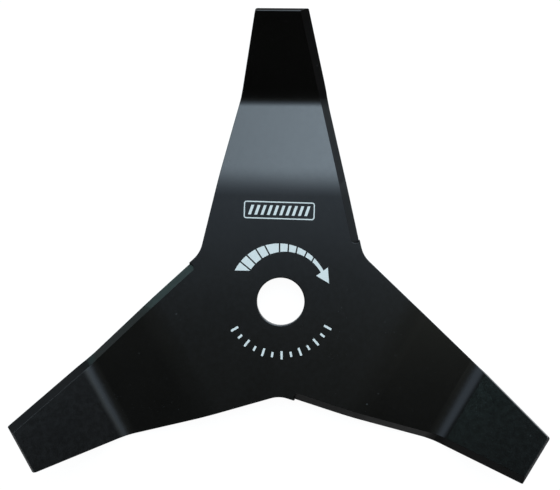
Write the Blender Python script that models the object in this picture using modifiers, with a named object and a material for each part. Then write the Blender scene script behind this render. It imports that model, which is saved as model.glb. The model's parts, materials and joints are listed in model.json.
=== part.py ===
"""Three-armed brush cutter blade.

One steel plate: its outline is cut flat, the bore and the cutting edges are machined while it is
flat, and each arm is then bent down close to the hub and up again before its tip.
Metres, +Z up on the printed side. The spindle axis is Z, and the origin is the centre of mass.
"""
import math

import bmesh
import bpy
from mathutils import Matrix, Vector

# Plate and bore
THICKNESS = 0.0030
CUTTING_DIAMETER = 0.3050
BORE_DIAMETER = 0.0254
BORE_CHAMFER = 0.0003
EDGE_RADIUS = 0.00035

# Arm outline on the flat blank. Stations are distances from the spindle axis.
ARMS = 3
ROOT_STATION = 0.0430
ROOT_WIDTH = 0.0794
SHOULDER_WIDTH = 0.0477
TIP_WIDTH = 0.0277
ROOT_FILLET = 0.0150
TIP_CORNER = 0.0014

# Bends, placed at their middles on the flat blank. The radii are inside radii.
INNER_BEND_STATION = 0.0645
INNER_BEND_ANGLE = math.radians(12.0)
INNER_BEND_RADIUS = 0.0750
OUTER_BEND_STATION = 0.1114
OUTER_BEND_ANGLE = math.radians(52.0)
OUTER_BEND_RADIUS = 0.0120

# Ground face on the leading side of each arm, from its runout near the hub to the tip
GRIND_WIDTH = 0.0040
GRIND_SETBACK = 0.0005
GRIND_START = 0.0335
GRIND_END_SAG = 0.0007
GRIND_END_DRAFT = math.radians(15.0)

# Enamel
ENAMEL_COLOUR = (0.012, 0.013, 0.014, 1.0)
ENAMEL_ROUGHNESS = 0.28
ENAMEL_METALLIC = 0.0

# Facets and working clearances
ARC_STEP = math.radians(5.0)
BEND_STEP = math.radians(2.5)
CORNER_STEP = math.radians(15.0)
BORE_FACETS = 96
EDGE_SEGMENTS = 2
GRIND_END_SECTIONS = 7
FLAT_ANGLE = math.radians(0.5)
RIM_ANGLE = math.radians(60.0)
SHARP_ANGLE = math.radians(30.0)
CUTTER_MARGIN = 0.0010
CUTTER_OVERRUN = 0.0200
WELD = 0.000001

HALF_THICKNESS = THICKNESS / 2
ARM_PITCH = 2 * math.pi / ARMS

# The arm seen from its side is a chain of stretches, each with a length and the angle it turns
# through, down being negative. Lengths are those of the middle of the plate.
INNER_BEND_LENGTH = (INNER_BEND_RADIUS + HALF_THICKNESS) * INNER_BEND_ANGLE
OUTER_BEND_LENGTH = (OUTER_BEND_RADIUS + HALF_THICKNESS) * OUTER_BEND_ANGLE
INNER_BEND_START = INNER_BEND_STATION - INNER_BEND_LENGTH / 2
OUTER_BEND_START = OUTER_BEND_STATION - OUTER_BEND_LENGTH / 2
OUTER_BEND_END = OUTER_BEND_START + OUTER_BEND_LENGTH
TIP_SLOPE = OUTER_BEND_ANGLE - INNER_BEND_ANGLE
CHAIN = [
    (INNER_BEND_START, 0.0),
    (INNER_BEND_LENGTH, -INNER_BEND_ANGLE),
    (OUTER_BEND_START - INNER_BEND_START - INNER_BEND_LENGTH, 0.0),
    (OUTER_BEND_LENGTH, OUTER_BEND_ANGLE),
]


def bent(station, level):
    """Reach and height, after bending, of a point at a level above the middle of the plate."""
    reach = 0.0
    height = 0.0
    slope = 0.0
    left = station
    for length, turn in CHAIN:
        part = min(left, length)
        if turn:
            radius = length / turn
            end_slope = slope + part / radius
            reach += radius * (math.sin(end_slope) - math.sin(slope))
            height -= radius * (math.cos(end_slope) - math.cos(slope))
            slope = end_slope
        else:
            reach += part * math.cos(slope)
            height += part * math.sin(slope)
        left -= part
    reach += left * math.cos(slope)
    height += left * math.sin(slope)
    return reach - level * math.sin(slope), height + level * math.cos(slope)


def tip_station():
    """Length of the flat arm that puts the lower tip corners on the cutting circle once bent."""
    corner_reach = math.sqrt((CUTTING_DIAMETER / 2) ** 2 - (TIP_WIDTH / 2) ** 2)
    bend_reach, _ = bent(OUTER_BEND_END, -HALF_THICKNESS)
    return OUTER_BEND_END + (corner_reach - bend_reach) / math.cos(TIP_SLOPE)


def leading_edge():
    """Corners of the leading edge of the arm along +Y, from its root to its tip."""
    root = Vector((ROOT_WIDTH / 2, ROOT_STATION))
    shoulder = Vector((SHOULDER_WIDTH / 2, OUTER_BEND_STATION))
    tip = Vector((TIP_WIDTH / 2, tip_station()))
    return root, shoulder, tip


def notch_corner():
    """Where the leading edge meets the next arm's trailing edge, midway between the two arms."""
    root, shoulder, _ = leading_edge()
    run = shoulder - root
    midway = Vector((math.sin(ARM_PITCH / 2), math.cos(ARM_PITCH / 2)))
    distance = (root.x * run.y - root.y * run.x) / (midway.x * run.y - midway.y * run.x)
    return midway * distance


def fillet(before, corner, after, radius, step):
    """Points of the arc that rounds a corner."""
    to_before = (before - corner).normalized()
    to_after = (after - corner).normalized()
    half_angle = to_before.angle(to_after) / 2
    centre = corner + (to_before + to_after).normalized() * radius / math.sin(half_angle)
    first = corner + to_before * radius / math.tan(half_angle) - centre
    last = corner + to_after * radius / math.tan(half_angle) - centre
    sweep = math.atan2(first.cross(last), first.dot(last))
    count = max(2, math.ceil(abs(sweep) / step))
    points = []
    for index in range(count + 1):
        points.append(centre + Matrix.Rotation(sweep * index / count, 2) @ first)
    return points


def blank_outline():
    """The flat blank's outline, anticlockwise seen from above."""
    _, shoulder, tip = leading_edge()
    across = Vector((-1.0, 1.0))
    corners = [
        (notch_corner(), ROOT_FILLET, ARC_STEP),
        (shoulder, 0.0, 0.0),
        (tip, TIP_CORNER, CORNER_STEP),
        (tip * across, TIP_CORNER, CORNER_STEP),
        (shoulder * across, 0.0, 0.0),
    ]
    ring = []
    for arm in range(ARMS):
        turn = Matrix.Rotation(arm * ARM_PITCH, 2)
        for place, radius, step in corners:
            ring.append((turn @ place, radius, step))
    outline = []
    for index, (place, radius, step) in enumerate(ring):
        if radius:
            before = ring[index - 1][0]
            after = ring[(index + 1) % len(ring)][0]
            outline.extend(fillet(before, place, after, radius, step))
        else:
            outline.append(place)
    return outline


def link(obj, collection):
    collection.objects.link(obj)
    return obj


def hide_cutter(obj):
    obj.hide_render = True
    obj.display_type = "WIRE"


def evaluated_mesh(obj, name):
    """The object's mesh with its modifiers or its curve settings applied."""
    depsgraph = bpy.context.evaluated_depsgraph_get()
    depsgraph.update()
    mesh = bpy.data.meshes.new_from_object(obj.evaluated_get(depsgraph))
    mesh.name = name
    return mesh


def flat_plate(collection):
    """The blank as cut: a filled outline with thickness, made a mesh with welded caps."""
    curve = bpy.data.curves.new("blank_outline", "CURVE")
    curve.dimensions = "2D"
    curve.fill_mode = "BOTH"
    curve.extrude = HALF_THICKNESS
    outline = blank_outline()
    spline = curve.splines.new("POLY")
    spline.points.add(len(outline) - 1)
    for point, place in zip(spline.points, outline):
        point.co = (place.x, place.y, 0.0, 1.0)
    spline.use_cyclic_u = True
    outline_object = link(bpy.data.objects.new("blank_outline", curve), collection)
    mesh = evaluated_mesh(outline_object, "blade")
    plate = link(bpy.data.objects.new("blade", mesh), collection)
    plate.matrix_world = outline_object.matrix_world
    bpy.data.objects.remove(outline_object)
    bpy.data.curves.remove(curve)
    work = bmesh.new()
    work.from_mesh(mesh)
    bmesh.ops.remove_doubles(work, verts=work.verts, dist=WELD)
    bmesh.ops.dissolve_limit(work, angle_limit=FLAT_ANGLE, verts=work.verts, edges=work.edges)
    work.to_mesh(mesh)
    work.free()
    return plate


def soften_edges(plate):
    """Rounds the rims that cutting and enamel leave soft."""
    bevel = plate.modifiers.new("soft_rims", "BEVEL")
    bevel.width = EDGE_RADIUS
    bevel.segments = EDGE_SEGMENTS
    bevel.limit_method = "ANGLE"
    bevel.angle_limit = RIM_ANGLE


def bore_cutter(collection):
    """A turned cutter: a cylinder that flares at both faces of the plate."""
    radius = BORE_DIAMETER / 2
    lip = BORE_CHAMFER + CUTTER_MARGIN
    top = HALF_THICKNESS + CUTTER_MARGIN
    neck = HALF_THICKNESS - BORE_CHAMFER
    profile = [(0, top), (radius + lip, top), (radius, neck), (radius, -neck), (radius + lip, -top), (0, -top)]
    mesh = bpy.data.meshes.new("bore_cutter")
    edges = [(index, index + 1) for index in range(len(profile) - 1)]
    mesh.from_pydata([(x, 0.0, z) for x, z in profile], edges, [])
    cutter = link(bpy.data.objects.new("bore_cutter", mesh), collection)
    screw = cutter.modifiers.new("turn", "SCREW")
    screw.steps = BORE_FACETS
    screw.render_steps = BORE_FACETS
    screw.use_merge_vertices = True
    screw.merge_threshold = WELD
    hide_cutter(cutter)
    return cutter


def cutting_edge():
    """The sharp edge's corners, set back from the blank's edge, and its first and last directions."""
    root, shoulder, tip = leading_edge()
    inner_run = (shoulder - root).normalized()
    outer_run = (tip - shoulder).normalized()
    inner_side = Vector((inner_run.y, -inner_run.x))
    outer_side = Vector((outer_run.y, -outer_run.x))
    mitre = (inner_side + outer_side) / (1 + inner_side.dot(outer_side))
    start = root + inner_run * (GRIND_START - root.y) / inner_run.y - inner_side * GRIND_SETBACK
    middle = shoulder - mitre * GRIND_SETBACK
    past_tip = tip + outer_run * CUTTER_OVERRUN - outer_side * GRIND_SETBACK
    return (start, inner_side), (middle, mitre), (past_tip, outer_side)


def grind_sections():
    """Cross-sections of the grinding cutter along one arm, each a ring of four points.

    The first two points lie in the plane of the ground face. Near the hub the sections narrow
    along an arc, so the ground face ends in a shallow bow.
    """
    start, middle, past_tip = cutting_edge()
    inner_run = (middle[0] - start[0]).normalized().to_3d()
    slant = math.hypot(GRIND_WIDTH, THICKNESS)
    bow_radius = (GRIND_END_SAG ** 2 + (slant / 2) ** 2) / (2 * GRIND_END_SAG)
    bow_depth = bow_radius - GRIND_END_SAG
    widest = slant / 2 + CUTTER_MARGIN
    clear_height = THICKNESS + 2 * CUTTER_MARGIN
    lift = Vector((0.0, 0.0, clear_height)) - inner_run * clear_height * math.tan(GRIND_END_DRAFT)

    def section(place, side, half_width):
        across = side.to_3d() * GRIND_WIDTH - Vector((0.0, 0.0, THICKNESS))
        centre = place.to_3d() - side.to_3d() * GRIND_WIDTH / 2
        outer = centre + across / slant * half_width
        inner = centre - across / slant * half_width
        return [inner, outer, outer + lift, inner + lift]

    sections = []
    first_angle = math.asin(widest / bow_radius)
    for index in range(GRIND_END_SECTIONS):
        angle = first_angle * (index + 1) / GRIND_END_SECTIONS
        back = bow_radius * math.cos(angle) - bow_depth
        place = start[0] - inner_run.to_2d() * back
        sections.append(section(place, start[1], bow_radius * math.sin(angle)))
    sections.append(section(*middle, widest))
    sections.append(section(*past_tip, widest))
    return sections


def grind_cutter(collection):
    """One cutter body for each arm, bridged through the sections along its cutting edge."""
    sections = grind_sections()
    work = bmesh.new()
    for arm in range(ARMS):
        turn = Matrix.Rotation(arm * ARM_PITCH, 3, "Z")
        rings = []
        for section in sections:
            verts = [work.verts.new(turn @ point) for point in section]
            rings.append([work.edges.new((verts[index - 1], verts[index])) for index in range(len(verts))])
        for ring, next_ring in zip(rings, rings[1:]):
            bmesh.ops.bridge_loops(work, edges=ring + next_ring)
        bmesh.ops.holes_fill(work, edges=rings[0] + rings[-1], sides=len(sections[0]))
    bmesh.ops.recalc_face_normals(work, faces=work.faces)
    mesh = bpy.data.meshes.new("grind_cutter")
    work.to_mesh(mesh)
    work.free()
    cutter = link(bpy.data.objects.new("grind_cutter", mesh), collection)
    hide_cutter(cutter)
    return cutter


def cut(plate, cutter):
    boolean = plate.modifiers.new(cutter.name, "BOOLEAN")
    boolean.operation = "DIFFERENCE"
    boolean.solver = "EXACT"
    boolean.object = cutter


def bend_stations():
    """Stations where the plate needs an edge loop to follow its two bends."""
    stations = []
    bends = ((INNER_BEND_START, INNER_BEND_LENGTH, INNER_BEND_ANGLE),
             (OUTER_BEND_START, OUTER_BEND_LENGTH, OUTER_BEND_ANGLE))
    for start, length, angle in bends:
        count = max(2, math.ceil(angle / BEND_STEP))
        stations.extend(start + length * index / count for index in range(count + 1))
    return stations


def bend_arms(work):
    """Bends every arm of the flat, machined plate."""
    for arm in range(ARMS):
        turn = Matrix.Rotation(arm * ARM_PITCH, 3, "Z")
        along = turn @ Vector((0.0, 1.0, 0.0))
        for station in bend_stations():
            everything = work.verts[:] + work.edges[:] + work.faces[:]
            bmesh.ops.bisect_plane(work, geom=everything, dist=WELD, plane_co=along * station, plane_no=along)
        for vert in work.verts:
            station = vert.co.dot(along)
            if station > INNER_BEND_START:
                aside = vert.co - along * station
                level = aside.z
                aside.z = 0.0
                reach, height = bent(station, level)
                vert.co = aside + along * reach + Vector((0.0, 0.0, height))


def centre_of_mass(work):
    """Centre of the closed, triangulated body."""
    volume = 0.0
    moment = Vector()
    for face in work.faces:
        a, b, c = (vert.co for vert in face.verts)
        part = a.dot(b.cross(c)) / 6
        volume += part
        moment += (a + b + c) / 4 * part
    return moment / volume


def form_blade(plate):
    """Applies the cuts, bends the arms and puts the origin at the centre of mass."""
    mesh = evaluated_mesh(plate, "blade")
    plate.modifiers.clear()
    work = bmesh.new()
    work.from_mesh(mesh)
    bmesh.ops.remove_doubles(work, verts=work.verts, dist=WELD)
    bend_arms(work)
    bmesh.ops.triangulate(work, faces=work.faces)
    bmesh.ops.dissolve_degenerate(work, dist=WELD, edges=work.edges)
    bmesh.ops.triangulate(work, faces=work.faces)
    bmesh.ops.translate(work, vec=-centre_of_mass(work), verts=work.verts)
    work.to_mesh(mesh)
    work.free()
    plate.data = mesh
    mesh.shade_smooth()
    mesh.set_sharp_from_angle(angle=SHARP_ANGLE)


def black_enamel():
    material = bpy.data.materials.new("black_enamel")
    material.use_nodes = True
    shader = material.node_tree.nodes["Principled BSDF"]
    shader.inputs["Base Color"].default_value = ENAMEL_COLOUR
    shader.inputs["Roughness"].default_value = ENAMEL_ROUGHNESS
    shader.inputs["Metallic"].default_value = ENAMEL_METALLIC
    material.diffuse_color = ENAMEL_COLOUR
    return material


def new_collection(name):
    collection = bpy.data.collections.new(name)
    bpy.context.scene.collection.children.link(collection)
    return collection


def main():
    for obj in list(bpy.data.objects):
        bpy.data.objects.remove(obj)
    parts = new_collection("brush_cutter_blade")
    cutters = new_collection("cutters")
    plate = flat_plate(parts)
    soften_edges(plate)
    cut(plate, bore_cutter(cutters))
    cut(plate, grind_cutter(cutters))
    form_blade(plate)
    plate.data.materials.clear()
    plate.data.materials.append(black_enamel())


if __name__ == "__main__":
    main()
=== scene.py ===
"""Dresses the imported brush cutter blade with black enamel, white print, a pale floor and soft light.

Lengths are in metres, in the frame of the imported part: +Z is the spindle axis on the printed side, and +Y
runs along one arm. Everything is placed from that part and from the settings below.
"""

import json
import math

import bmesh
import bpy
from bpy.props import FloatProperty, FloatVectorProperty, IntProperty, PointerProperty
from mathutils import Euler, Matrix, Vector


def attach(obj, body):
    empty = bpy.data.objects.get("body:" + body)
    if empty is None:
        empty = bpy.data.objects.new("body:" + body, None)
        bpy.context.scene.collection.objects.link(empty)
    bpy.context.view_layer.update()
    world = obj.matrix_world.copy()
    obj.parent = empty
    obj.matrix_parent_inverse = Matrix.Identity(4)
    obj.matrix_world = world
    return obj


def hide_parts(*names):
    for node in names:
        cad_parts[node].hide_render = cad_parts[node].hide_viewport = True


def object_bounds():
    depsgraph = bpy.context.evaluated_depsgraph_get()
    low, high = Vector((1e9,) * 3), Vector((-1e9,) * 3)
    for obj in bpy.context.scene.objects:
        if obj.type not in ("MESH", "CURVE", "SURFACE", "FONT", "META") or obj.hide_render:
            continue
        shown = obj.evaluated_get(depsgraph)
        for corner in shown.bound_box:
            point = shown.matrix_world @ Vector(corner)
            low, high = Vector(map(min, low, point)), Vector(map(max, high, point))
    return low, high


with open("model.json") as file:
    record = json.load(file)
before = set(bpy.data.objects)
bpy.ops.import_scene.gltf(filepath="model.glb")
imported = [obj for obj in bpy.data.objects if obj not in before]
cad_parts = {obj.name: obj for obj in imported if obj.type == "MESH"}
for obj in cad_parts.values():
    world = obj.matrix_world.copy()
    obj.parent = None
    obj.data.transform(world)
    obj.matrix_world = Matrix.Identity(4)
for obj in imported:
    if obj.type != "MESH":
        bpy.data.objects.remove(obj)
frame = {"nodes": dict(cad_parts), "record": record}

bl_info = {
    "name": "Brush cutter blade finish",
    "version": (1, 0, 0),
    "blender": (4, 5, 0),
    "location": "3D View > Sidebar > Blade",
    "description": "Enamels and prints a brush cutter blade and sets it on a pale floor in soft light",
    "category": "Object",
}

MM = 0.001
NODE = "blade"
BODY = "root"
CAD_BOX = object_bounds()
FLOOR_LEVEL = CAD_BOX[0].z
HUB_FACE = next(m["pos_m"][2] for m in frame["record"]["mounts"] if m["name"] == "hub_top_seat")

# The face attribute that marks the ground faces, and the direction of each arm in degrees
GROUND_MARK = "ground_finish"
ARM_DIRECTIONS = (90, -30, 210)

# The height of the print over the enamel, and how far it is sunk so that no gap shows
INK_HEIGHT = 0.05 * MM
INK_SINK = 0.03 * MM

# The levels of the print's underside and top, and those of what cuts it
INK_LEVELS = (HUB_FACE - INK_SINK, HUB_FACE + INK_HEIGHT)
CUTTER_LEVELS = (INK_LEVELS[0] - MM, INK_LEVELS[1] + MM)


class EnamelSettings(bpy.types.PropertyGroup):
    """Sizes and colours of the enamel coat"""

    colour: FloatVectorProperty(
        name="Colour", description="Colour of the enamel under its gloss", subtype="COLOR",
        default=(0.0038, 0.0032, 0.0029), min=0, max=1,
    )
    roughness: FloatProperty(
        name="Roughness", description="Roughness of the cured enamel", subtype="FACTOR",
        default=0.20, min=0, max=1,
    )
    ground_roughness: FloatProperty(
        name="Ground roughness", description="Roughness of the thinner coat on the ground faces",
        subtype="FACTOR", default=0.45, min=0, max=1,
    )
    ground_sheen: FloatProperty(
        name="Ground sheen", subtype="FACTOR", default=0.06, min=0, max=1,
        description="Strength of the reflections on the ground faces, where 0.5 is a full coat",
    )
    shoulder: FloatProperty(
        name="Shoulder", description="Width over which the coat rounds the top of each ground face",
        subtype="DISTANCE", unit="LENGTH", default=0.14 * MM, min=0,
    )
    peel: FloatProperty(
        name="Peel", description="Size of the faint waves in the coat", subtype="DISTANCE", unit="LENGTH",
        default=1.6 * MM, min=0.1 * MM,
    )


class PrintSettings(bpy.types.PropertyGroup):
    """Sizes and colour of the print on the hub"""

    colour: FloatVectorProperty(
        name="Ink", description="Colour of the printed ink", subtype="COLOR",
        default=(0.745, 0.745, 0.70), min=0, max=1,
    )
    outer_radius: FloatProperty(
        name="Arrow outer radius", description="Radius of the arrow's outer line", subtype="DISTANCE",
        unit="LENGTH", default=26.73 * MM,
    )
    inner_radius: FloatProperty(
        name="Arrow inner radius", description="Radius of the arrow's inner line", subtype="DISTANCE",
        unit="LENGTH", default=22.19 * MM,
    )
    tail: FloatProperty(
        name="Arrow tail", description="How far the cut-off tail lies from the spindle axis along Y",
        subtype="DISTANCE", unit="LENGTH", default=16.25 * MM,
    )
    gap: FloatProperty(
        name="Gap", description="Width of the gaps that cut the arrow into segments", subtype="DISTANCE",
        unit="LENGTH", default=0.80 * MM,
    )
    tick_radius: FloatProperty(
        name="Tick radius", description="Distance of the tick marks' middle from the spindle axis",
        subtype="DISTANCE", unit="LENGTH", default=28.7 * MM,
    )
    tick_count: IntProperty(
        name="Ticks", description="Number of tick marks below the bore", default=13, min=2,
    )
    panel_width: FloatProperty(
        name="Panel width", description="Width of the printed frame", subtype="DISTANCE", unit="LENGTH",
        default=38.0 * MM,
    )
    panel_height: FloatProperty(
        name="Panel height", description="Height of the printed frame", subtype="DISTANCE", unit="LENGTH",
        default=9.4 * MM,
    )


class StageSettings(bpy.types.PropertyGroup):
    """Strengths and places of the floor, the light and the camera"""

    light_colour: FloatVectorProperty(
        name="Light colour", description="Colour of the soft light", subtype="COLOR",
        default=(0.80, 0.98, 1.12), min=0, max=2,
    )
    ceiling_colour: FloatVectorProperty(
        name="Ceiling colour", description="Colour of the ceiling, which is bluer", subtype="COLOR",
        default=(0.75, 0.94, 1.17), min=0, max=2,
    )
    wall_colour: FloatVectorProperty(
        name="Wall colour", description="Colour of the wall on the left, which is greener", subtype="COLOR",
        default=(0.55, 0.98, 0.98), min=0, max=2,
    )
    room_colour: FloatVectorProperty(
        name="Room colour", description="Colour of the dim room", subtype="COLOR",
        default=(0.94, 1.02, 0.90), min=0, max=2,
    )
    window: FloatProperty(
        name="Window", description="Radiance of the large window behind the blade", default=5.0,
    )
    ceiling: FloatProperty(
        name="Ceiling", description="Radiance of the ceiling over the blade", default=0.78,
    )
    room: FloatProperty(
        name="Room", description="Radiance of the darkest part of the room", default=0.02,
    )
    floor_colour: FloatVectorProperty(
        name="Floor", description="Colour of the floor", subtype="COLOR",
        default=(0.80, 0.80, 0.80), min=0, max=1,
    )
    lens: FloatProperty(
        name="Lens", description="Focal length of the camera on a 36 mm sensor, in millimetres",
        default=51.51,
    )
    camera_place: FloatVectorProperty(
        name="Camera", description="Place of the camera over the middle of the hub's printed face",
        subtype="TRANSLATION", unit="LENGTH", default=(0.0255, 0.0488, 0.4282),
    )
    camera_tilt: FloatVectorProperty(
        name="Camera tilt", description="Turn of the camera away from straight down", subtype="EULER",
        unit="ROTATION", default=(math.radians(0.19), math.radians(1.56), math.radians(0.85)),
    )


def alone(piece):
    """Deselects everything but one piece and makes it active."""
    bpy.ops.object.select_all(action="DESELECT")
    piece.select_set(True)
    bpy.context.view_layer.objects.active = piece


def named(name):
    """Gives the object that was just added its name."""
    piece = bpy.context.view_layer.objects.active
    piece.name = name
    piece.data.name = name
    return piece


def settle(piece):
    """Puts a piece's place and turn into its mesh."""
    alone(piece)
    bpy.ops.object.transform_apply(location=True, rotation=True, scale=True)


def select_edges(piece, wanted):
    """Selects the edges that a test picks, for an edit mode operator."""
    mesh = bmesh.from_edit_mesh(piece.data)
    mesh.edges.ensure_lookup_table()
    mesh.normal_update()
    for part in (*mesh.verts, *mesh.edges, *mesh.faces):
        part.select = False
    for edge in mesh.edges:
        if wanted(edge):
            edge.select_set(True)
    bmesh.update_edit_mesh(piece.data)


def bevel_edges(piece, wanted, width, segments, clamp=True):
    """Rounds the edges that a test picks.

    Each call has an edit session of its own, so that every run gives the same faces.
    """
    alone(piece)
    bpy.ops.object.mode_set(mode="EDIT")
    select_edges(piece, wanted)
    bpy.ops.mesh.bevel(offset=width, segments=segments, affect="EDGES", clamp_overlap=clamp)
    bpy.ops.object.mode_set(mode="OBJECT")


def prism(name, corners, low, high):
    """A closed straight-sided piece on a flat outline, which runs anticlockwise."""
    bpy.ops.object.select_all(action="DESELECT")
    bpy.ops.mesh.primitive_circle_add(vertices=len(corners), radius=1, fill_type="NGON", location=(0, 0, 0))
    piece = named(name)
    for vertex, corner in zip(piece.data.vertices, corners):
        vertex.co = (corner[0], corner[1], low)
    bpy.ops.object.mode_set(mode="EDIT")
    bpy.ops.mesh.select_all(action="SELECT")
    bpy.ops.mesh.extrude_region_move(TRANSFORM_OT_translate={"value": (0, 0, high - low)})
    bpy.ops.mesh.select_all(action="SELECT")
    bpy.ops.mesh.normals_make_consistent(inside=False)
    bpy.ops.object.mode_set(mode="OBJECT")
    return piece


def disc(name, radius, centre, low, high, sides=256):
    """A round plate that stands for an inked circle or the hole in it."""
    bpy.ops.object.select_all(action="DESELECT")
    middle = (centre[0], centre[1], (low + high) / 2)
    bpy.ops.mesh.primitive_cylinder_add(vertices=sides, radius=radius, depth=high - low, location=middle)
    piece = named(name)
    settle(piece)
    return piece


def combine(piece, other, operation):
    """Cuts a piece with another or joins the two, and uses the other up."""
    alone(piece)
    step = piece.modifiers.new(operation.lower(), "BOOLEAN")
    step.operation = operation
    step.solver = "EXACT"
    step.object = other
    bpy.ops.object.modifier_apply(modifier=step.name)
    bpy.data.objects.remove(other)


def join(pieces, name):
    """Makes several separate pieces one object."""
    bpy.ops.object.select_all(action="DESELECT")
    for piece in pieces:
        piece.select_set(True)
    bpy.context.view_layer.objects.active = pieces[0]
    bpy.ops.object.join()
    return named(name)


def bar(name, width, length, slant, low, high):
    """An upright inked bar round the origin, with its top pushed sideways by slant."""
    half, shift = width / 2, slant / 2
    corners = (
        (-half - shift, -length / 2),
        (half - shift, -length / 2),
        (half + shift, length / 2),
        (-half + shift, length / 2),
    )
    return prism(name, corners, low, high)


def round_corners(piece, radius, segments=4):
    """Rounds the upright edges of a flat piece, as print does."""
    bevel_edges(piece, lambda e: abs(e.verts[0].co.z - e.verts[1].co.z) > INK_HEIGHT / 2, radius, segments)


def turned_copy(piece, angle, shift):
    """A copy with its own mesh, moved and then turned round the spindle axis."""
    copy = bpy.data.objects.new(piece.name, piece.data.copy())
    bpy.context.scene.collection.objects.link(copy)
    copy.data.transform(Matrix.Rotation(angle, 4, "Z") @ Matrix.Translation(shift))
    return copy


def dress(piece, material):
    """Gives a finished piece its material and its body."""
    piece.data.materials.clear()
    piece.data.materials.append(material)
    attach(piece, BODY)


def wire(tree, start, end):
    """Links two sockets, each given as (node, name or number)."""
    tree.links.new(start[0].outputs[start[1]], end[0].inputs[end[1]])


def math_node(tree, operation, *values, clamp=False):
    """A Math node's result. Its inputs are numbers or (node, socket) pairs."""
    node = tree.nodes.new("ShaderNodeMath")
    node.operation = operation
    node.use_clamp = clamp
    for number, value in enumerate(values):
        if isinstance(value, tuple):
            wire(tree, value, (node, number))
        else:
            node.inputs[number].default_value = value
    return node, 0


def chain(tree, operation, first, *others):
    """Adds or multiplies several values, from the first to the last."""
    for value in others:
        first = math_node(tree, operation, first, value)
    return first


def bell(tree, share):
    """A bell curve, which is 1 where the share is 0 and falls off to both sides."""
    falloff = chain(tree, "MULTIPLY", share, share, -0.5)
    return math_node(tree, "EXPONENT", falloff)


def map_range(tree, value, low, high, to_low=0.0, to_high=1.0):
    """A smooth step from one range to another."""
    node = tree.nodes.new("ShaderNodeMapRange")
    node.interpolation_type = "SMOOTHSTEP"
    wire(tree, value, (node, "Value"))
    for name, number in (("From Min", low), ("From Max", high), ("To Min", to_low), ("To Max", to_high)):
        node.inputs[name].default_value = number
    return node, "Result"


def noise(tree, vector, scale, detail=2.0, roughness=0.5):
    """A Noise Texture on the given coordinates, with its scale as waves to the metre."""
    node = tree.nodes.new("ShaderNodeTexNoise")
    node.inputs["Scale"].default_value = scale
    node.inputs["Detail"].default_value = detail
    node.inputs["Roughness"].default_value = roughness
    wire(tree, vector, (node, "Vector"))
    return node, "Fac"


# The sockets of a Mix node that hold its two colours, and the one with their mixture
MIX_INPUTS = (6, 7)
MIX_RESULT = 2


def mix_colour(tree, factor, first, second):
    """Mixes two colours by a mask. Each colour is a value or a (node, socket) pair."""
    node = tree.nodes.new("ShaderNodeMix")
    node.data_type = "RGBA"
    wire(tree, factor, (node, 0))
    for number, value in zip(MIX_INPUTS, (first, second)):
        if isinstance(value[0], bpy.types.Node):
            wire(tree, value, (node, number))
        else:
            node.inputs[number].default_value = (*value, 1)
    return node, MIX_RESULT


def mix_shader(tree, factor, first, second):
    """Mixes two shaders by a mask, all three given as (node, socket) pairs."""
    node = tree.nodes.new("ShaderNodeMixShader")
    for number, value in enumerate((factor, first, second)):
        wire(tree, value, (node, number))
    return node, 0


def bump(tree, height, strength, depth, normal=None):
    """Raises a pattern on the surface, on top of another bump where its normal is given."""
    node = tree.nodes.new("ShaderNodeBump")
    node.inputs["Strength"].default_value = strength
    node.inputs["Distance"].default_value = depth
    wire(tree, height, (node, "Height"))
    if normal:
        wire(tree, normal, (node, "Normal"))
    return node, "Normal"


def blank_material(name):
    """A node material with its Principled BSDF and nothing else."""
    material = bpy.data.materials.new(name)
    material.use_nodes = True
    tree = material.node_tree
    return material, tree, tree.nodes["Principled BSDF"]


# The dust: how far a speck reaches in its cell, which of the cells by their random number hold one, and the
# patches in which it settles, as waves to the metre
DUST_GROUP = "dust_speckle"
SPECK_EDGE = (0.10, 0.22, 1.0, 0.0)
CELLS_WITH_SPECK = (0.90, 0.97)
DUST_PATCHES = 45
PATCH_EDGE = (0.45, 0.75)


def speckle_group():
    """Fine dust that settles on the lying blade: a mask between 0 and 1."""
    group = bpy.data.node_groups.get(DUST_GROUP)
    if group:
        return group
    group = bpy.data.node_groups.new(DUST_GROUP, "ShaderNodeTree")
    group.interface.new_socket("Vector", in_out="INPUT", socket_type="NodeSocketVector")
    group.interface.new_socket("Speck Scale", in_out="INPUT", socket_type="NodeSocketFloat")
    group.interface.new_socket("Amount", in_out="INPUT", socket_type="NodeSocketFloat")
    group.interface.new_socket("Mask", in_out="OUTPUT", socket_type="NodeSocketFloat")
    start, end = group.nodes.new("NodeGroupInput"), group.nodes.new("NodeGroupOutput")
    cells = group.nodes.new("ShaderNodeTexVoronoi")
    cells.feature = "F1"
    wire(group, (start, "Vector"), (cells, "Vector"))
    wire(group, (start, "Speck Scale"), (cells, "Scale"))
    speck = map_range(group, (cells, "Distance"), *SPECK_EDGE)
    chance = group.nodes.new("ShaderNodeSeparateColor")
    wire(group, (cells, "Color"), (chance, "Color"))
    rare = map_range(group, (chance, "Red"), *CELLS_WITH_SPECK)
    patches = noise(group, (start, "Vector"), DUST_PATCHES, detail=3)
    drift = map_range(group, patches, *PATCH_EDGE)
    spread = chain(group, "MULTIPLY", speck, rare, drift)
    mask = math_node(group, "MULTIPLY", spread, (start, "Amount"), clamp=True)
    wire(group, mask, (end, "Mask"))
    return group


def add_speckle(tree, vector, scale, amount):
    """Places the dust group in a material and gives its mask."""
    node = tree.nodes.new("ShaderNodeGroup")
    node.node_tree = speckle_group()
    node.inputs["Speck Scale"].default_value = scale
    node.inputs["Amount"].default_value = amount
    wire(tree, vector, (node, "Vector"))
    return node, "Mask"


# The enamel's shade and roughness at their least and greatest, as shares of the settings
SHADES = (0.85, 1.2)
GLOSS = (0.9, 1.12)
FULL_SHEEN = 0.5
ENAMEL_IOR = 1.5

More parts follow.
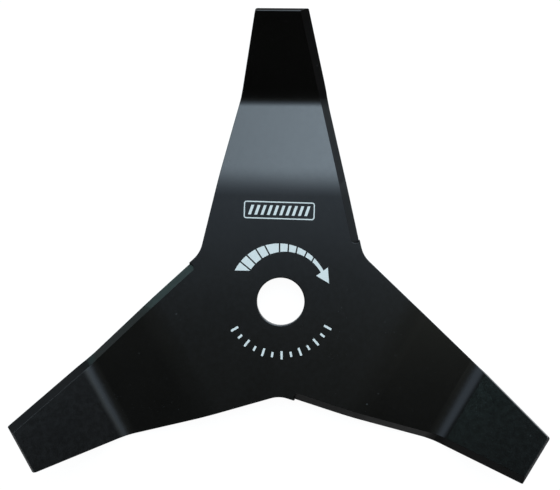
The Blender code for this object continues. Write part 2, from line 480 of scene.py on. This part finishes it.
# The clouds in its shade and the grain in its gloss: waves to the metre, and the values of the noise between
# which each goes from its least to its greatest
CLOUDS = 26
CLOUD_EDGE = (0.3, 0.7)
GLOSS_GRAIN = 420
GLOSS_EDGE = (0.25, 0.75)

# The dust on it as specks to the metre and the share that shows: a fine sort and larger flecks
FINE_DUST = (1100, 0.22)
FLECKS = (340, 0.16)
DUST_COLOUR = (0.24, 0.25, 0.25)

# The waves in its surface: the wide ones to the metre, the roughness of the noise that makes them and the
# fine peel, and then the strength and depth of the peel and of the wide waves
WIDE_WAVES = 28
WAVE_NOISE = 0.4
PEEL_BUMP = (0.12, 0.02 * MM)
WIDE_BUMP = (1.0, 0.10 * MM)


def enamel_material(settings):
    """Satin black enamel: sprayed and baked, with a faint peel and a little dust."""
    material, tree, shader = blank_material("satin_black_enamel")
    where = (tree.nodes.new("ShaderNodeTexCoord"), "Object")

    clouds = noise(tree, where, CLOUDS, detail=3)
    shade = map_range(tree, clouds, *CLOUD_EDGE)
    darkest, lightest = ([share * part for part in settings.colour] for share in SHADES)
    coat = mix_colour(tree, shade, darkest, lightest)
    dust = add_speckle(tree, where, *FINE_DUST)
    flecks = add_speckle(tree, where, *FLECKS)
    specks = math_node(tree, "MAXIMUM", dust, flecks)
    wire(tree, mix_colour(tree, specks, coat, DUST_COLOUR), (shader, "Base Color"))

    mark = tree.nodes.new("ShaderNodeAttribute")
    mark.attribute_name = GROUND_MARK
    ground = (mark, "Fac")
    grain = noise(tree, where, GLOSS_GRAIN)
    smoothest, roughest = (share * settings.roughness for share in GLOSS)
    gloss = map_range(tree, grain, *GLOSS_EDGE, smoothest, roughest)
    dull = map_range(tree, ground, 0.0, 1.0, 0.0, settings.ground_roughness - settings.roughness)
    wire(tree, math_node(tree, "ADD", gloss, dull), (shader, "Roughness"))
    sheen = map_range(tree, ground, 0.0, 1.0, FULL_SHEEN, settings.ground_sheen)
    wire(tree, sheen, (shader, "Specular IOR Level"))
    shader.inputs["IOR"].default_value = ENAMEL_IOR

    peel = noise(tree, where, 1 / settings.peel, detail=1.5, roughness=WAVE_NOISE)
    waves = noise(tree, where, WIDE_WAVES, detail=1, roughness=WAVE_NOISE)
    peeled = bump(tree, peel, *PEEL_BUMP)
    wire(tree, bump(tree, waves, *WIDE_BUMP, peeled), (shader, "Normal"))
    return material


# The ink: its grain and its worn patches as waves to the metre, and the values between which it gets thin,
# worn and matt
INK_NAME = "white_print_ink"
INK_GRAIN = 1500
THIN_EDGE = (0.35, 0.6, 1.0, 0.0)
INK_PATCHES = 160
WORN_EDGE = (0.35, 0.75)
MATT_EDGE = (0.3, 0.7)

# The black under the ink and the least and greatest share of it that shows, and the ink's own gloss
UNDER_INK_COLOUR = (0.20, 0.21, 0.21)
UNDER_INK_SHARE = (0.02, 0.14)
INK_ROUGHNESS = (0.42, 0.58)
INK_IOR = 1.46


def ink_material(settings):
    """White screen ink, a little thin in places, so that the black shows faintly through."""
    material, tree, shader = blank_material(INK_NAME)
    where = (tree.nodes.new("ShaderNodeTexCoord"), "Object")
    grain = noise(tree, where, INK_GRAIN)
    thin = map_range(tree, grain, *THIN_EDGE)
    patches = noise(tree, where, INK_PATCHES)
    worn = map_range(tree, patches, *WORN_EDGE, *UNDER_INK_SHARE)
    share = math_node(tree, "MULTIPLY", thin, worn)
    ink = mix_colour(tree, share, settings.colour, UNDER_INK_COLOUR)
    wire(tree, ink, (shader, "Base Color"))
    gloss = map_range(tree, grain, *MATT_EDGE, *INK_ROUGHNESS)
    wire(tree, gloss, (shader, "Roughness"))
    shader.inputs["IOR"].default_value = INK_IOR
    return material


def ink_shared(settings):
    """The ink material, made once for all the print."""
    return bpy.data.materials.get(INK_NAME) or ink_material(settings)


class BLADE_OT_enamelled_plate(bpy.types.Operator):
    """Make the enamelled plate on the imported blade"""

    bl_idname = "blade.enamelled_plate"
    bl_label = "Enamelled plate"

    # What merges the CAD's loose triangles, and the angle and size under which its facets are taken out
    WELD = 0.001 * MM
    FLAT = math.radians(0.3)
    TINY = 0.06 * MM

    # The ground faces meet the plate at this angle, in degrees, give or take the slack
    GROUND_ANGLE = 36.9
    ANGLE_SLACK = 2.5

    # The short wall that ends a ground face meets the plate between these angles, in degrees
    RUNOUT_ANGLES = (70, 82)

    # How much of a face's normal points up at least: on the level top, on a sloping face, on a steep wall
    LEVEL = 0.95
    SLOPING = 0.3
    STEEP = 0.1

    # All of the bore's edges lie closer to the spindle axis than this
    BORE_REACH = 14 * MM

    # Widths over which the coat rounds the run-outs and the bore's rim, and the faces in each rounding
    RUNOUT_ROUND = 0.20 * MM
    BORE_ROUND = 0.28 * MM
    RUNOUT_SEGMENTS = 3
    BORE_SEGMENTS = 4
    SHOULDER_SEGMENTS = 3

    # The angle up to which faces are shaded as one, and how far the larger faces come first in that
    SMOOTH = math.radians(50)
    LARGE_FIRST = 100

    # The area in square metres from which a face counts as one of the plate's large flats
    LARGE = 500 * MM * MM

    # A ground face's normal leans to its arm's leading side between these shares, and is marked by how many
    # of the two bends lie between it and the hub
    LEAN = (0.25, 0.80)
    BEND_STATIONS = (64 * MM, 110 * MM)
    GROUND_MARKS = (0.66, 0.75, 1.0)

    # An end face's normal points out along its arm and up by more than these shares
    END_LEAN = 0.5
    END_RISE = 0.3
    END_MARK = 1.0

    def execute(self, context):
        settings = context.scene.blade_enamel
        plate = bpy.data.objects.new("enamelled_plate", frame["nodes"][NODE].data.copy())
        context.scene.collection.objects.link(plate)
        alone(plate)
        bpy.ops.object.mode_set(mode="EDIT")
        bpy.ops.mesh.select_all(action="SELECT")
        bpy.ops.mesh.remove_doubles(threshold=self.WELD)
        bpy.ops.mesh.customdata_custom_splitnormals_clear()
        bpy.ops.mesh.dissolve_limited(angle_limit=self.FLAT)
        bpy.ops.mesh.dissolve_degenerate(threshold=self.TINY)
        bpy.ops.object.mode_set(mode="OBJECT")
        bevel_edges(plate, self.tops_ground_face, settings.shoulder, self.SHOULDER_SEGMENTS)
        bevel_edges(plate, self.tops_runout, self.RUNOUT_ROUND, self.RUNOUT_SEGMENTS, clamp=False)
        bevel_edges(plate, self.rims_bore, self.BORE_ROUND, self.BORE_SEGMENTS)
        bpy.ops.object.shade_smooth_by_angle(angle=self.SMOOTH)
        weigh = plate.modifiers.new("face_weights", "WEIGHTED_NORMAL")
        weigh.keep_sharp = True
        weigh.weight = self.LARGE_FIRST
        bpy.ops.object.modifier_apply(modifier=weigh.name)
        self.keep_flats_flat(plate)
        self.mark_ground_faces(plate)
        dress(plate, enamel_material(settings))
        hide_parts(NODE)
        return {"FINISHED"}

    def keep_flats_flat(self, plate):
        """Gives the corners of the large flats their face's own normal, whatever small faces meet there."""
        mesh = plate.data
        normals = [corner.vector.copy() for corner in mesh.corner_normals]
        for face in mesh.polygons:
            if face.area > self.LARGE:
                for corner in face.loop_indices:
                    normals[corner] = face.normal.copy()
        mesh.normals_split_custom_set(normals)

    def mark_ground_faces(self, plate):
        """Marks the ground faces, which lean to their arm's leading side, and the arms' end faces.

        The higher the mark, the duller the face. The ground faces are dullest past the outer bend.
        """
        marks = plate.data.attributes.new(GROUND_MARK, "FLOAT", "FACE")
        arms = [Vector((math.cos(math.radians(a)), math.sin(math.radians(a)), 0)) for a in ARM_DIRECTIONS]
        for face in plate.data.polygons:
            arm = max(arms, key=face.center.dot)
            lean = face.normal.dot(Vector((arm.y, -arm.x, 0)))
            if face.normal.dot(arm) > self.END_LEAN and face.normal.z > self.END_RISE:
                marks.data[face.index].value = self.END_MARK
            elif face.center.xy.length > self.BORE_REACH and self.LEAN[0] < lean < self.LEAN[1]:
                bends_passed = sum(face.center.dot(arm) > station for station in self.BEND_STATIONS)
                marks.data[face.index].value = self.GROUND_MARKS[bends_passed]

    def tops_ground_face(self, edge):
        """Tells whether an edge is where the plate's top turns into a ground face."""
        if len(edge.link_faces) != 2 or min(face.normal.z for face in edge.link_faces) < self.SLOPING:
            return False
        angle = math.degrees(edge.calc_face_angle_signed())
        return abs(angle - self.GROUND_ANGLE) < self.ANGLE_SLACK

    def tops_runout(self, edge):
        """Tells whether an edge is where the plate's top turns into the wall that ends a ground face."""
        if len(edge.link_faces) != 2:
            return False
        heights = sorted(face.normal.z for face in edge.link_faces)
        angle = math.degrees(edge.calc_face_angle_signed())
        low, high = self.RUNOUT_ANGLES
        return heights[0] > self.STEEP and heights[1] > self.LEVEL and low < angle < high

    def rims_bore(self, edge):
        """Tells whether an edge is where the hub's printed face turns into the bore's chamfer."""
        if len(edge.link_faces) != 2 or max(vertex.co.xy.length for vertex in edge.verts) > self.BORE_REACH:
            return False
        heights = sorted(face.normal.z for face in edge.link_faces)
        return heights[0] > self.SLOPING and heights[1] > self.LEVEL


class BLADE_OT_rotation_arrow(bpy.types.Operator):
    """Print the segmented arrow that shows which way the blade turns"""

    bl_idname = "blade.rotation_arrow"
    bl_label = "Rotation arrow"

    # The middles of the arrow's outer and inner line
    OUTER_CENTRE = (-0.91 * MM, 4.35 * MM)
    INNER_CENTRE = (2.25 * MM, 4.57 * MM)

    # The arrow's head, in millimetres from the spindle axis: inner barb, outer barb and tip
    HEAD = ((18.86, 14.10), (25.05, 18.66), (25.75, 10.17))

    # How far the ring reaches into the head
    NECK_OVERLAP = 0.3 * MM

    # Each gap: where it crosses the outer line, in degrees round the spindle, and the way it points
    GAPS = (
        (135.8, 141.4),
        (126.3, 136.5),
        (115.4, 123.8),
        (105.4, 118.9),
        (92.0, 90.2),
        (82.5, 87.1),
        (73.4, 79.8),
        (62.8, 65.5),
        (53.2, 62.9),
    )

    # How far the middles of the bars that cut the gaps lie from the spindle axis, and their length
    GAP_RADIUS = 28.2 * MM
    GAP_LENGTH = 12 * MM

    def execute(self, context):
        settings = context.scene.blade_print
        arrow = disc("rotation_arrow", settings.outer_radius, self.OUTER_CENTRE, *INK_LEVELS)
        hole = disc("arrow_hole", settings.inner_radius, self.INNER_CENTRE, *CUTTER_LEVELS)
        for cutter in (hole, self.below_tail(settings), self.past_neck(settings), self.gaps(settings)):
            combine(arrow, cutter, "DIFFERENCE")
        head = prism("arrow_head", [(x * MM, y * MM) for x, y in self.HEAD], *INK_LEVELS)
        combine(arrow, head, "UNION")
        dress(arrow, ink_shared(settings))
        return {"FINISHED"}

    def below_tail(self, settings):
        """Covers the part of the ring left of the spindle and below the tail's straight cut."""
        reach = 2 * settings.outer_radius
        corners = ((-reach, -reach), (0, -reach), (0, settings.tail), (-reach, settings.tail))
        return prism("below_tail", corners, *CUTTER_LEVELS)

    def past_neck(self, settings):
        """Covers the part of the ring past the line between the head's two barbs."""
        inner, outer = (Vector(corner) * MM for corner in self.HEAD[:2])
        along = (outer - inner).normalized()
        across = Vector((along.y, -along.x))
        reach = 2 * settings.outer_radius
        start = inner + across * self.NECK_OVERLAP
        corners = (
            start - along * reach,
            start - along * reach + across * reach,
            start + along * reach + across * reach,
            start + along * reach,
        )
        return prism("past_neck", corners, *CUTTER_LEVELS)

    def gaps(self, settings):
        """Bars across the ring, one for each gap."""
        bars = []
        for place, way in self.GAPS:
            piece = bar("gap", settings.gap, self.GAP_LENGTH, 0, *CUTTER_LEVELS)
            turn = math.radians(way) - math.pi / 2
            outer = math.radians(place)
            middle = Vector((math.cos(outer), math.sin(outer), 0)) * self.GAP_RADIUS
            piece.data.transform(Matrix.Translation(middle) @ Matrix.Rotation(turn, 4, "Z"))
            bars.append(piece)
        return join(bars, "gaps")


class BLADE_OT_tick_arc(bpy.types.Operator):
    """Print the arc of plain tick marks below the bore"""

    bl_idname = "blade.tick_arc"
    bl_label = "Tick marks"

    # The directions of the first and the last tick, round the spindle
    FIRST = math.radians(-148.3)
    LAST = math.radians(-27.9)

    # Long and short ticks take turns
    WIDTH = 1.15 * MM
    LONG = 4.4 * MM
    SHORT = 2.8 * MM
    CORNER = 0.25 * MM

    def execute(self, context):
        settings = context.scene.blade_print
        models = [bar("tick", self.WIDTH, length, 0, *INK_LEVELS) for length in (self.LONG, self.SHORT)]
        for model in models:
            round_corners(model, self.CORNER)
        step = (self.LAST - self.FIRST) / (settings.tick_count - 1)
        shift = Vector((0, -settings.tick_radius, 0))
        ticks = []
        for number in range(settings.tick_count):
            angle = self.FIRST + number * step + math.pi / 2
            ticks.append(turned_copy(models[number % 2], angle, shift))
        for model in models:
            bpy.data.objects.remove(model)
        arc = join(ticks, "tick_arc")
        dress(arc, ink_shared(settings))
        return {"FINISHED"}


class BLADE_OT_bar_panel(bpy.types.Operator):
    """Print the plain frame with its row of slanted bars"""

    bl_idname = "blade.bar_panel"
    bl_label = "Bar panel"

    CENTRE = (-1.45 * MM, 48.75 * MM)
    TILT = math.radians(-0.9)

    # The frame's printed line and its outer corners
    LINE = 0.6 * MM
    CORNER = 1.4 * MM

    BARS = 10
    BAR_WIDTH = 1.5 * MM
    BAR_HEIGHT = 5.2 * MM
    PITCH = 3.35 * MM
    SLANT = 1.7 * MM

    def execute(self, context):
        settings = context.scene.blade_print
        width, height = settings.panel_width, settings.panel_height
        border = bar("border", width, height, 0, *INK_LEVELS)
        round_corners(border, self.CORNER)
        inside = bar("inside", width - 2 * self.LINE, height - 2 * self.LINE, 0, *CUTTER_LEVELS)
        round_corners(inside, self.CORNER - self.LINE)
        combine(border, inside, "DIFFERENCE")
        parts = [border]
        for number in range(self.BARS):
            piece = bar("bar", self.BAR_WIDTH, self.BAR_HEIGHT, self.SLANT, *INK_LEVELS)
            piece.data.transform(Matrix.Translation(((number - (self.BARS - 1) / 2) * self.PITCH, 0, 0)))
            parts.append(piece)
        panel = join(parts, "bar_panel")
        place = Matrix.Translation((*self.CENTRE, 0)) @ Matrix.Rotation(self.TILT, 4, "Z")
        panel.data.transform(place)
        dress(panel, ink_shared(settings))
        return {"FINISHED"}


class BLADE_OT_stage(bpy.types.Operator):
    """Set the floor, the soft light and the camera"""

    bl_idname = "blade.stage"
    bl_label = "Floor, light and camera"

    # The floor, with the share of it that glows where it is looked at and how brightly that share does
    FLOOR_REACH = 6.0
    FLOOR_SIDES = 96
    FLOOR_ROUGHNESS = 0.9
    FLOOR_GLOW = 0.89
    FLOOR_WHITE = 1.075

    # The camera's sensor in millimetres, its shift as a share of the picture's long side, and its range
    SENSOR = 36.0
    SHIFT = (-27.8 / 560, -36.6 / 560)
    CLIP = (0.01, 100)

    # The light comes from the world, by the direction it comes from: x, y and z below are the parts of a
    # vector of length 1 that points there. Each soft edge is given as where it starts and ends, and the level
    # before and after it.
    OVER_FLOOR = (0.02, 0.20, 0.0, 1.0)
    WALL_TOP = (0.24, 0.36, 1.0, 0.0)
    HORIZON = (0.01, 0.04, 1.0, 0.0)

    # The ceiling. For its slanted right edge x gets a lean: its change with y, and its value at y = 0.
    CEILING_FRONT = (-0.15, 0.08, 0.0, 1.0)
    CEILING_LEFT = (-0.79, -0.56, 0.0, 1.0)
    CEILING_RIGHT = (0.34, 0.61, 1.0, 0.0)
    CEILING_LEAN = (-0.5, 0.1)

    # The window. Its middle moves to the right from the bend on, and it widens with y: both are given as the
    # change with y, and the value at the bend or at y = 0.
    WINDOW_TOP = (0.03, 0.475, 0.0, 1.0)
    WINDOW_BOTTOM = (0.66, 0.86, 1.0, 0.0)
    WINDOW_BEND = 0.45
    WINDOW_MIDDLE = (0.5, 0.065)
    WINDOW_WIDTH = (0.3, 0.10)

    # The glow of each pale wall: the way to its middle, how wide it is, and its radiance
    RIGHT_WALL = ((0.90, 0.42, 0.12), 0.18, 5.0)
    LEFT_WALL = ((-0.80, 0.57, 0.20), 0.16, 7.5)
    FAR_WALL = ((0.05, 0.97, 0.20), 0.16, 5.0)

    # The dim room, and the paler corner on its right
    ROOM_FRONT = (-0.44, -0.10, 0.10, 1.0)
    ROOM_RIGHT = (-0.10, 0.30, 0.11, 0.24)
    ROOM_LEFT = (-0.45, -0.20, 0.09, 0.0)
    ROOM_RIGHT_END = (0.48, 0.70, 1.0, 0.0)
    ROOM_LEFT_END = (-0.76, -0.60, 0.0, 1.0)
    ROOM_BACK = (-0.15, 0.08, 1.0, 0.15)
    CORNER_LEFT = (0.30, 0.44, 0.0, 1.0)
    CORNER_FRONT = (-0.375, -0.325, 0.0, 0.26)

    def execute(self, context):
        settings = context.scene.blade_stage
        self.add_floor(settings)
        self.light_room(context, settings)
        self.add_camera(context, settings)
        context.scene.view_settings.view_transform = "Standard"
        return {"FINISHED"}

    def add_floor(self, settings):
        """A pale floor under the blade, which takes its shadow and is white where it is looked at."""
        bpy.ops.object.select_all(action="DESELECT")
        bpy.ops.mesh.primitive_circle_add(
            vertices=self.FLOOR_SIDES, radius=self.FLOOR_REACH, fill_type="NGON",
            location=(0, 0, FLOOR_LEVEL),
        )
        floor = named("pale_floor")
        settle(floor)
        material, tree, shader = blank_material("pale_floor")
        shader.inputs["Base Color"].default_value = (*settings.floor_colour, 1)
        shader.inputs["Roughness"].default_value = self.FLOOR_ROUGHNESS
        shader.inputs["Specular IOR Level"].default_value = 0
        glow = tree.nodes.new("ShaderNodeEmission")
        glow.inputs["Color"].default_value = (1, 1, 1, 1)
        glow.inputs["Strength"].default_value = self.FLOOR_WHITE
        share = math_node(tree, "MULTIPLY", self.background_rays(tree), self.FLOOR_GLOW)
        mix = mix_shader(tree, share, (shader, 0), (glow, 0))
        wire(tree, mix, (tree.nodes["Material Output"], "Surface"))
        floor.data.materials.append(material)

    def background_rays(self, tree):
        """1 for the rays that show the pale background, so that the camera, gloss and glass see it alike."""
        path = tree.nodes.new("ShaderNodeLightPath")
        seen = math_node(tree, "ADD", (path, "Is Camera Ray"), (path, "Is Glossy Ray"))
        return math_node(tree, "ADD", seen, (path, "Is Transmission Ray"), clamp=True)

    def light_room(self, context, settings):
        """A dim room with a soft ceiling and a large bright window behind the blade, by direction."""
        world = bpy.data.worlds.new("soft_studio")
        context.scene.world = world
        world.use_nodes = True
        tree = world.node_tree
        tree.nodes.clear()
        way = (tree.nodes.new("ShaderNodeTexCoord"), "Generated")
        axes = tree.nodes.new("ShaderNodeSeparateXYZ")
        wire(tree, way, (axes, 0))
        x, y, z = (axes, "X"), (axes, "Y"), (axes, "Z")

        over_floor = map_range(tree, z, *self.OVER_FLOOR)
        wall_top = map_range(tree, z, *self.WALL_TOP)
        ceiling = chain(tree, "MULTIPLY", self.ceiling(tree, x, y), settings.ceiling, over_floor)
        window = chain(tree, "MULTIPLY", self.window(tree, x, y), settings.window, over_floor)
        left_wall = chain(tree, "MULTIPLY", self.glow(tree, way, *self.LEFT_WALL), wall_top)
        right_wall = chain(tree, "MULTIPLY", self.glow(tree, way, *self.RIGHT_WALL), wall_top)
        walls = chain(tree, "ADD", right_wall, self.glow(tree, way, *self.FAR_WALL))
        bright = chain(tree, "ADD", window, walls)
        room = chain(tree, "ADD", self.room(tree, x, y), settings.room)

        dim = self.background(tree, settings.light_colour, bright)
        for colour, strength in (
            (settings.ceiling_colour, ceiling),
            (settings.wall_colour, left_wall),
            (settings.room_colour, room),
        ):
            both = tree.nodes.new("ShaderNodeAddShader")
            wire(tree, dim, (both, 0))
            wire(tree, self.background(tree, colour, strength), (both, 1))
            dim = (both, 0)

        white = self.background(tree, (1, 1, 1), None)
        mix = mix_shader(tree, self.backdrop_rays(tree, z), dim, white)
        output = tree.nodes.new("ShaderNodeOutputWorld")
        wire(tree, mix, (output, "Surface"))

    def backdrop_rays(self, tree, z):
        """1 for the camera, and for gloss and glass near the horizon, where the floor ends."""
        path = tree.nodes.new("ShaderNodeLightPath")
        gloss = math_node(tree, "ADD", (path, "Is Glossy Ray"), (path, "Is Transmission Ray"), clamp=True)
        horizon = map_range(tree, z, *self.HORIZON)
        low_gloss = math_node(tree, "MULTIPLY", gloss, horizon)
        return math_node(tree, "MAXIMUM", (path, "Is Camera Ray"), low_gloss)

    def background(self, tree, colour, strength):
        """A Background shader of one colour, whose strength is 1 or a (node, socket) pair."""
        node = tree.nodes.new("ShaderNodeBackground")
        node.inputs["Color"].default_value = (*colour, 1)
        if strength:
            wire(tree, strength, (node, "Strength"))
        return node, 0

    def ceiling(self, tree, x, y):
        """The ceiling over the blade, which starts close to the zenith and reaches far to both sides."""
        front = map_range(tree, y, *self.CEILING_FRONT)
        left = map_range(tree, x, *self.CEILING_LEFT)
        lean = math_node(tree, "MULTIPLY_ADD", y, *self.CEILING_LEAN)
        right = map_range(tree, math_node(tree, "ADD", x, lean), *self.CEILING_RIGHT)
        return chain(tree, "MULTIPLY", left, right, front)

    def window(self, tree, x, y):
        """The bright window, which is widest and furthest to the right where it is lowest."""
        past_bend = math_node(tree, "SUBTRACT", y, self.WINDOW_BEND)
        lean = math_node(tree, "MAXIMUM", past_bend, 0.0)
        middle = math_node(tree, "MULTIPLY_ADD", lean, *self.WINDOW_MIDDLE)
        width = math_node(tree, "MULTIPLY_ADD", y, *self.WINDOW_WIDTH)
        across = math_node(tree, "DIVIDE", math_node(tree, "SUBTRACT", x, middle), width)
        top = map_range(tree, y, *self.WINDOW_TOP)
        bottom = map_range(tree, y, *self.WINDOW_BOTTOM)
        return chain(tree, "MULTIPLY", top, bottom, bell(tree, across))

    def glow(self, tree, way, direction, spread, strength):
        """A soft glow round one direction, as from a pale wall."""
        offset = tree.nodes.new("ShaderNodeVectorMath")
        offset.operation = "DISTANCE"
        wire(tree, way, (offset, 0))
        offset.inputs[1].default_value = Vector(direction).normalized()
        share = math_node(tree, "DIVIDE", (offset, "Value"), spread)
        return math_node(tree, "MULTIPLY", bell(tree, share), strength)

    def room(self, tree, x, y):
        """The dim room in front of the blade.

        It is lighter towards the ceiling and to both sides, and has a paler corner on the right.
        """
        right = map_range(tree, x, *self.ROOM_RIGHT)
        left = map_range(tree, x, *self.ROOM_LEFT)
        side = math_node(tree, "ADD", right, left)
        right_end = map_range(tree, x, *self.ROOM_RIGHT_END)
        left_end = map_range(tree, x, *self.ROOM_LEFT_END)
        back = map_range(tree, y, *self.ROOM_BACK)
        front = map_range(tree, y, *self.ROOM_FRONT)
        dim = chain(tree, "MULTIPLY", right_end, left_end, side, back, front)
        corner_left = map_range(tree, x, *self.CORNER_LEFT)
        corner_front = map_range(tree, y, *self.CORNER_FRONT)
        corner = chain(tree, "MULTIPLY", corner_left, corner_front, right_end)
        return math_node(tree, "ADD", dim, corner)

    def add_camera(self, context, settings):
        """The camera over the blade, which looks almost straight down."""
        lens = bpy.data.cameras.new("overhead_camera")
        lens.sensor_width = self.SENSOR
        lens.lens = settings.lens
        lens.shift_x, lens.shift_y = self.SHIFT
        lens.clip_start, lens.clip_end = self.CLIP
        camera = bpy.data.objects.new("overhead_camera", lens)
        context.scene.collection.objects.link(camera)
        camera.location = Vector(settings.camera_place) + Vector((0, 0, HUB_FACE))
        camera.rotation_euler = Euler(settings.camera_tilt)
        context.scene.camera = camera


class BLADE_PT_sidebar(bpy.types.Panel):
    """Sidebar panel with the blade's pieces and settings"""

    bl_label = "Brush cutter blade"
    bl_idname = "BLADE_PT_sidebar"
    bl_space_type = "VIEW_3D"
    bl_region_type = "UI"
    bl_category = "Blade"

    def draw(self, context):
        for group, title in (("blade_enamel", "Enamel"), ("blade_print", "Print"), ("blade_stage", "Stage")):
            box = self.layout.box()
            box.label(text=title)
            settings = getattr(context.scene, group)
            for name in settings.__annotations__:
                box.prop(settings, name)
        for operator in OPERATORS:
            self.layout.operator(operator.bl_idname)


GROUPS = {"blade_enamel": EnamelSettings, "blade_print": PrintSettings, "blade_stage": StageSettings}
OPERATORS = (
    BLADE_OT_enamelled_plate,
    BLADE_OT_rotation_arrow,
    BLADE_OT_tick_arc,
    BLADE_OT_bar_panel,
    BLADE_OT_stage,
)


def register():
    for item in (*GROUPS.values(), *OPERATORS, BLADE_PT_sidebar):
        bpy.utils.register_class(item)
    for name, group in GROUPS.items():
        setattr(bpy.types.Scene, name, PointerProperty(type=group))


def unregister():
    for name in GROUPS:
        delattr(bpy.types.Scene, name)
    for item in reversed((*GROUPS.values(), *OPERATORS, BLADE_PT_sidebar)):
        bpy.utils.unregister_class(item)


def main():
    register()
    bpy.ops.blade.enamelled_plate()
    bpy.ops.blade.rotation_arrow()
    bpy.ops.blade.tick_arc()
    bpy.ops.blade.bar_panel()
    bpy.ops.blade.stage()


if __name__ == "__main__":
    main()
